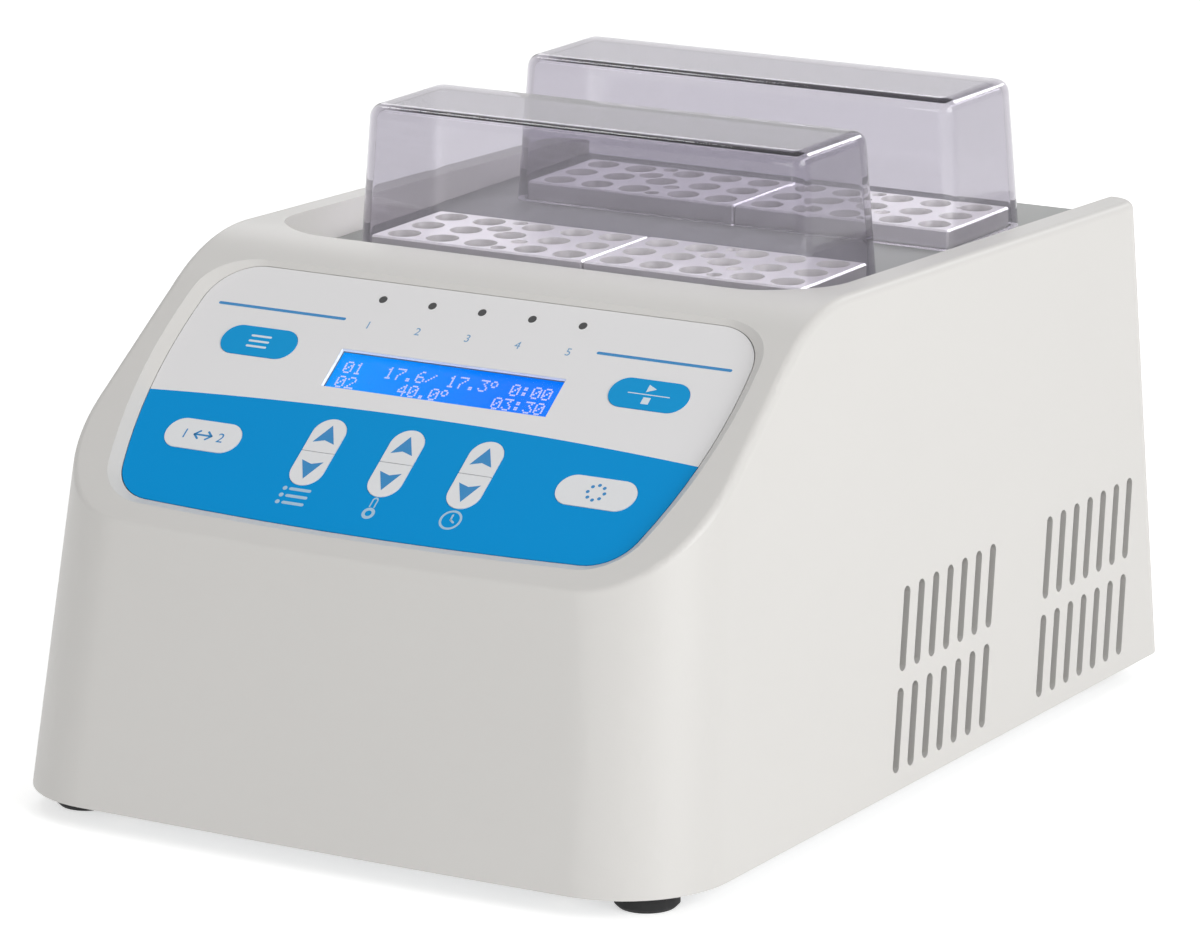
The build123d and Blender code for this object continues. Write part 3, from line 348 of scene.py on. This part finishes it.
def joinMeshes(name, meshes):
    table = bmesh.new()
    for mesh in meshes:
        table.from_mesh(mesh)
    bmesh.ops.remove_doubles(table, verts=table.verts, dist=1e-7)
    bmesh.ops.recalc_face_normals(table, faces=table.faces)
    joined = bpy.data.meshes.new(name)
    table.to_mesh(joined)
    table.free()
    return joined


# CAD nodes take the material of their slot
slotOf = {part["node"]: part["material_slot"] for part in frame["record"]["subparts"]}
for name, node in nodes.items():
    node.data.materials.clear()
    node.data.materials.append(materials[slotOf[name]])
print("CAD nodes finished")

# Curved nodes are shown by a merged copy with smooth shading
smoothed = {
    "upper_housing": 32, "feet": 40, "overlay": 30, "front_left_block": 30, "front_right_block": 30,
    "rear_left_block": 30, "rear_right_block": 30, "block_screws": 30, "deck_plate": 30, "status_lamps": 30,
    "power_switch": 30, "power_inlet": 30, "rear_panel": 30, "rear_panel_screws": 30, "data_port": 30,
}
for name, degrees in smoothed.items():
    node = nodes[name]
    mesh = node.data.copy()
    softenShading(mesh, math.radians(degrees))
    piece = bpy.data.objects.new(name + "_smooth", mesh)
    bpy.context.scene.collection.objects.link(piece)
    weighNormals(piece)
    settlePiece(piece, node["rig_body"], [name])
print("smooth copies made:", len(smoothed))

# Clear lids: drafted walls, rounded corners and top edge, hollow below
lid = {
    "halfWidth": 83.35, "halfDepth": 24.8, "height": 49.0, "wall": 2.4, "draft": math.radians(3.2),
    "corner": 5.4, "edge": 4.8, "innerEdge": 2.8, "foot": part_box("front_lid")[0].z / mm, "steps": 8,
    "middles": {"front": 10.9, "rear": 107.2},
}


def roundedRing(table, halfWidth, halfDepth, corner, height, middle):
    ring = []
    for quarter, (sideX, sideY) in enumerate(((1, 1), (-1, 1), (-1, -1), (1, -1))):
        for step in range(lid["steps"] + 1):
            turn = math.radians(90) * (quarter + step / lid["steps"])
            x = sideX * (halfWidth - corner) + corner * math.cos(turn)
            y = sideY * (halfDepth - corner) + corner * math.sin(turn)
            ring.append(table.verts.new(Vector((x, y + middle, height)) * mm))
    return ring


def shellProfile(inset, height, edge):
    # Inset, height and corner radius of each ring from the foot over the rounded top edge
    draft = lid["draft"]
    corner = lid["corner"] - inset
    centreHeight = height - edge
    centreInset = (edge + centreHeight * math.sin(draft)) / math.cos(draft)
    profile = [(inset, 0.0, corner), (inset + 0.5 * height * math.tan(draft), 0.5 * height, corner)]
    for step in range(lid["steps"] + 1):
        turn = draft + (math.radians(90) - draft) * step / lid["steps"]
        round_ = edge * (math.cos(draft) - math.cos(turn))
        profile.append((
            inset + centreInset - edge * math.cos(turn), centreHeight + edge * math.sin(turn), corner - round_))
    return profile


def lidMesh(middle):
    table = bmesh.new()
    rims = []
    for inset, height, edge in ((0, lid["height"], lid["edge"]), (lid["wall"], lid["height"] - lid["wall"], lid["innerEdge"])):
        rings = []
        for back, rise, corner in shellProfile(inset, height, edge):
            rings.append(roundedRing(
                table, lid["halfWidth"] - back, lid["halfDepth"] - back, corner, lid["foot"] + rise, middle))
        for low, high in zip(rings, rings[1:]):
            for i in range(len(low)):
                j = (i + 1) % len(low)
                table.faces.new((low[i], low[j], high[j], high[i]))
        table.faces.new(rings[-1])
        rims.append(rings[0])
    outer, inner = rims
    for i in range(len(outer)):
        j = (i + 1) % len(outer)
        table.faces.new((outer[j], outer[i], inner[i], inner[j]))
    bmesh.ops.recalc_face_normals(table, faces=table.faces)
    mesh = bpy.data.meshes.new("lid")
    table.to_mesh(mesh)
    table.free()
    softenShading(mesh, math.radians(35))
    return mesh


for bath, middle in lid["middles"].items():
    piece = bpy.data.objects.new(bath + "ClearLid", lidMesh(middle))
    bpy.context.scene.collection.objects.link(piece)
    piece.data.materials.append(materials["clear_lid"])
    weighNormals(piece)
    settlePiece(piece, bath + "_lid", [bath + "_lid"])
print("lids made")

# Printed marks on the panel: flat shapes given in millimetres across and up the slope
marks = {
    "thickness": 0.02, "lampPitch": 18.2, "rule": 1.1, "ruleUp": -9.6, "rules": ((-92.5, -45.9), (46.5, 93.0)),
    "numberUp": -12.2, "numberSize": 4.2, "labelUp": -80.0, "pillUp": -62.2, "pillPitch": 28.4,
    "keyX": 70.8, "keyUp": -23.1, "lowKeyX": 71.0, "keyTop": 0.2, "signScale": 1.3,
}


def panelPlace(across, up, out):
    turn = Matrix((Vector((1, 0, 0)), panelUp, panelOut)).transposed().to_4x4()
    spot = panel["origin"] + Vector((1, 0, 0)) * across * mm + panelUp * up * mm + panelOut * out * mm
    return Matrix.Translation(spot) @ turn @ Matrix.Scale(mm, 4)


def flatMark(outlines, across, up, out, scale=1.0):
    curve = bpy.data.curves.new("mark", "CURVE")
    curve.dimensions = "2D"
    curve.fill_mode = "BOTH"
    curve.extrude = marks["thickness"] / 2
    for outline in outlines:
        spline = curve.splines.new("POLY")
        spline.points.add(len(outline) - 1)
        for point, (x, y) in zip(spline.points, outline):
            point.co = (x * scale, y * scale, 0, 1)
        spline.use_cyclic_u = True
    return meshOfCurve(curve, panelPlace(across, up, out + marks["thickness"]))


def textMark(text, size, across, up, out):
    curve = bpy.data.curves.new("number", "FONT")
    curve.body = text
    curve.size = size
    curve.align_x = "CENTER"
    curve.extrude = marks["thickness"] / 2
    return meshOfCurve(curve, panelPlace(across, up, out + marks["thickness"]))


def roundStroke(x0, y0, x1, y1, width):
    turn = math.atan2(y1 - y0, x1 - x0)
    outline = []
    for x, y, start in ((x1, y1, turn - math.pi / 2), (x0, y0, turn + math.pi / 2)):
        for step in range(7):
            angle = start + math.pi * step / 6
            outline.append((x + width / 2 * math.cos(angle), y + width / 2 * math.sin(angle)))
    return outline


def circle(x, y, radius, steps=32):
    return [(x + radius * math.cos(2 * math.pi * s / steps), y + radius * math.sin(2 * math.pi * s / steps))
            for s in range(steps)]


blueMarks = [flatMark([roundStroke(left, 0, right, 0, marks["rule"])], 0, marks["ruleUp"], 0)
             for left, right in marks["rules"]]
addPiece("panelRules", joinMeshes("panelRules", blueMarks), inks["blueInk"], "housing")
numbers = [textMark(str(lamp + 1), marks["numberSize"], (lamp - 2) * marks["lampPitch"], marks["numberUp"], 0)
           for lamp in range(5)]
addPiece("lampNumbers", joinMeshes("lampNumbers", numbers), inks["mistInk"], "housing")

# Signs below the pill keys: a list, a thermometer and a clock
listSign = [roundStroke(-1.7, y, 3.6, y, 0.85) for y in (2.1, 0, -2.1)] + [circle(-3.3, y, 0.6) for y in (2.1, 0, -2.1)]
glass = [(-0.8, 0.2), (-0.8, 2.6), (-0.5, 3.1), (0, 3.3), (0.5, 3.1), (0.8, 2.6), (0.8, 0.2)]
thermometerSign = [circle(0, -1.6, 1.7), circle(0, -1.6, 0.85), glass + [(0.45, 0.2), (0.45, 2.5), (0, 2.85), (-0.45, 2.5), (-0.45, 0.2)]]
clockSign = [circle(0, 0, 2.9), circle(0, 0, 2.3), roundStroke(0, 0, 0, 1.5, 0.5), roundStroke(0, 0, 1.0, -0.6, 0.5)]
signs = []
for column, outlineGroups in ((-1, [[o] for o in listSign]), (0, [thermometerSign[:2], thermometerSign[2:]]),
                              (1, [clockSign[:2], clockSign[2:3], clockSign[3:]])):
    for outlines in outlineGroups:
        signs.append(flatMark(outlines, column * marks["pillPitch"], marks["labelUp"], 0, marks["signScale"]))
addPiece("keySigns", joinMeshes("keySigns", signs), inks["paleInk"], "housing")

# Marks on the keys ride with the keys
arrow = [(0, 10.8), (-3.9, 3.6), (0, 4.8), (3.9, 3.6)]
for column, name in enumerate(("program", "temperature", "time")):
    for way, side in (("up", 1), ("down", -1)):
        outline = [(x, side * y) for x, y in arrow]
        mesh = flatMark([outline], (column - 1) * marks["pillPitch"], marks["pillUp"], marks["keyTop"])
        addPiece(f"{name}{way.title()}Arrow", mesh, inks["blueInk"], f"{name}_{way}_key")

menuSign = [roundStroke(-3.4, y, 3.4, y, 0.8) for y in (2.1, 0, -2.1)]
startSign = [[(-1.4, 0.9), (-1.4, 3.9), (1.7, 2.4)], roundStroke(-7.2, 0, 7.2, 0, 0.35),
             [(-1.3, -3.7), (1.3, -3.7), (1.3, -1.1), (-1.3, -1.1)]]
swapSign = [roundStroke(-3.2, 0, 3.2, 0, 0.7), roundStroke(-3.2, 0, -1.5, 1.5, 0.7), roundStroke(-3.2, 0, -1.5, -1.5, 0.7),
            roundStroke(3.2, 0, 1.5, 1.5, 0.7), roundStroke(3.2, 0, 1.5, -1.5, 0.7)]
modeSign = [circle(2.9 * math.cos(a), 2.9 * math.sin(a), 0.62) for a in (math.radians(45 * k) for k in range(8))]
keyMarks = {
    "option_key": (menuSign, -marks["keyX"], marks["keyUp"], "whiteInk", "key_blue", "menuMark"),
    "start_stop_key": (startSign, marks["keyX"], marks["keyUp"], "whiteInk", "key_blue", "startStopMark"),
    "bath_select_key": (swapSign, -marks["lowKeyX"], marks["pillUp"], "blueInk", "key_white", "bathSelectMark"),
    "mode_key": (modeSign, marks["lowKeyX"], marks["pillUp"], "blueInk", "key_white", "modeMark"),
}
for key, (outlines, across, up, ink, slot, name) in keyMarks.items():
    meshes = [flatMark([outline], across, up, marks["keyTop"]) for outline in outlines]
    if key == "bath_select_key":
        meshes += [textMark("1", 5.2, across - 6.6, up - 1.9, marks["keyTop"]),
                   textMark("2", 5.2, across + 6.6, up - 1.9, marks["keyTop"])]
    addPiece(name, joinMeshes(name, meshes), inks[ink], key)
print("panel marks made")

# Display characters: dots of a five by seven grid, set by a node tree
display = {
    "lines": ("01  17.6/ 17.3° 0:00", "02    40.0°    03:30"), "left": -37.6, "top": -24.6, "pitch": 3.79,
    "linePitch": 5.9, "dotAcross": 0.64, "dotUp": 0.68, "dotSize": 0.54, "level": -2.04, "cursor": 9,
}
dotRows = {
    "0": "01110 10001 10011 10101 11001 10001 01110", "1": "00100 01100 00100 00100 00100 00100 01110",
    "2": "01110 10001 00001 00010 00100 01000 11111", "3": "11111 00010 00100 00010 00001 10001 01110",
    "4": "00010 00110 01010 10010 11111 00010 00010", "6": "00110 01000 10000 11110 10001 10001 01110",
    "7": "11111 00001 00010 00100 01000 01000 01000", ".": "00000 00000 00000 00000 00000 01100 01100",
    "/": "00000 00001 00010 00100 01000 10000 00000", ":": "00000 01100 01100 00000 01100 01100 00000",
    "°": "01100 10010 10010 01100 00000 00000 00000",
}
dots = []
for line, text in enumerate(display["lines"]):
    for place, sign in enumerate(text):
        rows = dotRows.get(sign, "").split()
        for row, pattern in enumerate(rows):
            for column, dot in enumerate(pattern):
                if dot == "1":
                    dots.append((display["left"] + place * display["pitch"] + column * display["dotAcross"],
                                 display["top"] - line * display["linePitch"] - row * display["dotUp"]))
for column in range(5):
    dots.append((display["left"] + display["cursor"] * display["pitch"] + column * display["dotAcross"],
                 display["top"] - display["linePitch"] - 7.1 * display["dotUp"]))


def dotTree(material):
    tree = bpy.data.node_groups.new("displayDots", "GeometryNodeTree")
    tree.interface.new_socket("Geometry", in_out="INPUT", socket_type="NodeSocketGeometry")
    for name in ("Dot Size", "Dot Thickness"):
        tree.interface.new_socket(name, in_out="INPUT", socket_type="NodeSocketFloat")
    tree.interface.new_socket("Geometry", in_out="OUTPUT", socket_type="NodeSocketGeometry")
    start = addNode(tree, "NodeGroupInput")
    box = addNode(tree, "ShaderNodeCombineXYZ", {
        "X": start.outputs["Dot Size"], "Y": start.outputs["Dot Size"], "Z": start.outputs["Dot Thickness"]})
    cube = addNode(tree, "GeometryNodeMeshCube", {"Size": box.outputs["Vector"]})
    spread = addNode(tree, "GeometryNodeInstanceOnPoints", {
        "Points": start.outputs["Geometry"], "Instance": cube.outputs["Mesh"]})
    real = addNode(tree, "GeometryNodeRealizeInstances", {"Geometry": spread.outputs["Instances"]})
    paint = addNode(tree, "GeometryNodeSetMaterial", {"Geometry": real.outputs["Geometry"], "Material": material})
    addNode(tree, "NodeGroupOutput", {"Geometry": paint.outputs["Geometry"]})
    return tree


points = bpy.data.meshes.new("dotPoints")
points.from_pydata([(x, y, 0) for x, y in dots], [], [])
holder = bpy.data.objects.new("dotHolder", points)
bpy.context.scene.collection.objects.link(holder)
modifier = holder.modifiers.new("dots", "NODES")
modifier.node_group = dotTree(inks["litCharacter"])
sockets = {item.name: item.identifier for item in modifier.node_group.interface.items_tree if item.in_out == "INPUT"}
modifier[sockets["Dot Size"]] = display["dotSize"]
modifier[sockets["Dot Thickness"]] = 0.02
graph = bpy.context.evaluated_depsgraph_get()
mesh = bpy.data.meshes.new_from_object(holder.evaluated_get(graph))
bpy.data.objects.remove(holder)
mesh.transform(panelPlace(0, 0, display["level"]))
addPiece("displayCharacters", mesh, inks["litCharacter"], "housing")
print("display made with", len(dots), "dots")

# Floor, world and lamps
stage = {"white": "#F4F4F3", "size": 30.0, "lift": 0.55}
floorMesh = bpy.data.meshes.new("floor")
half = stage["size"] / 2
floorMesh.from_pydata([(-half, -half, 0), (half, -half, 0), (half, half, 0), (-half, half, 0)], [], [(0, 1, 2, 3)])
floor = bpy.data.objects.new("floor", floorMesh)
bpy.context.scene.collection.objects.link(floor)
material, tree, shader = startMaterial("floorPaint", stage["white"], 0.9)
path = addNode(tree, "ShaderNodeLightPath")
seen = addNode(tree, "ShaderNodeMath", {0: path.outputs["Is Camera Ray"], 1: path.outputs["Is Glossy Ray"]}, operation="MAXIMUM")
seen = addNode(tree, "ShaderNodeMath", {0: seen.outputs[0], 1: path.outputs["Is Transmission Ray"]}, operation="MAXIMUM")
lift = addNode(tree, "ShaderNodeMath", {0: seen.outputs[0], 1: stage["lift"]}, operation="MULTIPLY")
shader.inputs["Emission Color"].default_value = (1, 1, 1, 1)
tree.links.new(lift.outputs[0], shader.inputs["Emission Strength"])
floorMesh.materials.append(material)

lighting = {"world": 0.33, "background": 1.0}
world = bpy.data.worlds.new("softRoom")
bpy.context.scene.world = world
world.use_nodes = True
tree = world.node_tree
tree.nodes.clear()
path = addNode(tree, "ShaderNodeLightPath")
seen = addNode(tree, "ShaderNodeMath", {0: path.outputs["Is Camera Ray"], 1: path.outputs["Is Glossy Ray"]}, operation="MAXIMUM")
seen = addNode(tree, "ShaderNodeMath", {0: seen.outputs[0], 1: path.outputs["Is Transmission Ray"]}, operation="MAXIMUM")
level = addNode(tree, "ShaderNodeMapRange", {
    "Value": seen.outputs[0], "To Min": lighting["world"], "To Max": lighting["background"]})
sky = addNode(tree, "ShaderNodeBackground", {"Color": (1, 1, 1, 1), "Strength": level.outputs["Result"]})
addNode(tree, "ShaderNodeOutputWorld", {"Surface": sky.outputs["Background"]})

lamps = {
    "rightSoftbox": {"at": (2.3, -0.5, 1.0), "size": 1.4, "power": 36.5},
    "frontSoftbox": {"at": (-0.5, -2.3, 0.6), "size": 1.3, "power": 12.2},
    "leftEdgeLight": {"at": (-1.2, 0.3, 2.05), "size": 0.3, "power": 2.6},
    "rearEdgeLight": {"at": (0.55, 1.9, 1.25), "size": 0.4, "power": 5.0},
    "rearSoftbox": {"at": (-1.4, 2.1, 1.65), "size": 1.0, "power": 9.0},
}
for name, lamp in lamps.items():
    light = bpy.data.lights.new(name, "AREA")
    light.shape = "SQUARE"
    light.size = lamp["size"]
    light.energy = lamp["power"]
    holder = bpy.data.objects.new(name, light)
    bpy.context.scene.collection.objects.link(holder)
    holder.location = lamp["at"]
    aim = Vector((0, 0, 0.1)) - Vector(lamp["at"])
    holder.rotation_euler = aim.to_track_quat("-Z", "Y").to_euler()
print("stage and lamps made")

# Camera from the photograph's perspective
view = {
    "at": (1053.17, -1740.24, 613.23), "yaw": math.radians(31.18), "pitch": math.radians(-14.492),
    "roll": math.radians(-0.375), "focal": 6563.24, "imageWidth": 1200, "sensor": 36.0,
}
camera = bpy.data.cameras.new("camera")
camera.sensor_width = view["sensor"]
camera.lens = view["focal"] / view["imageWidth"] * view["sensor"]
viewer = bpy.data.objects.new("camera", camera)
bpy.context.scene.collection.objects.link(viewer)
forward = Vector((
    -math.sin(view["yaw"]) * math.cos(view["pitch"]), math.cos(view["yaw"]) * math.cos(view["pitch"]),
    math.sin(view["pitch"])))
level = forward.cross(Vector((0, 0, 1))).normalized()
upright = level.cross(forward)
right = level * math.cos(view["roll"]) + upright * math.sin(view["roll"])
up = -level * math.sin(view["roll"]) + upright * math.cos(view["roll"])
turn = Matrix((right, up, -forward)).transposed().to_4x4()
viewer.matrix_world = Matrix.Translation(Vector(view["at"]) * mm) @ turn
bpy.context.scene.camera = viewer
bpy.context.scene.view_settings.view_transform = "Standard"
print("camera set")
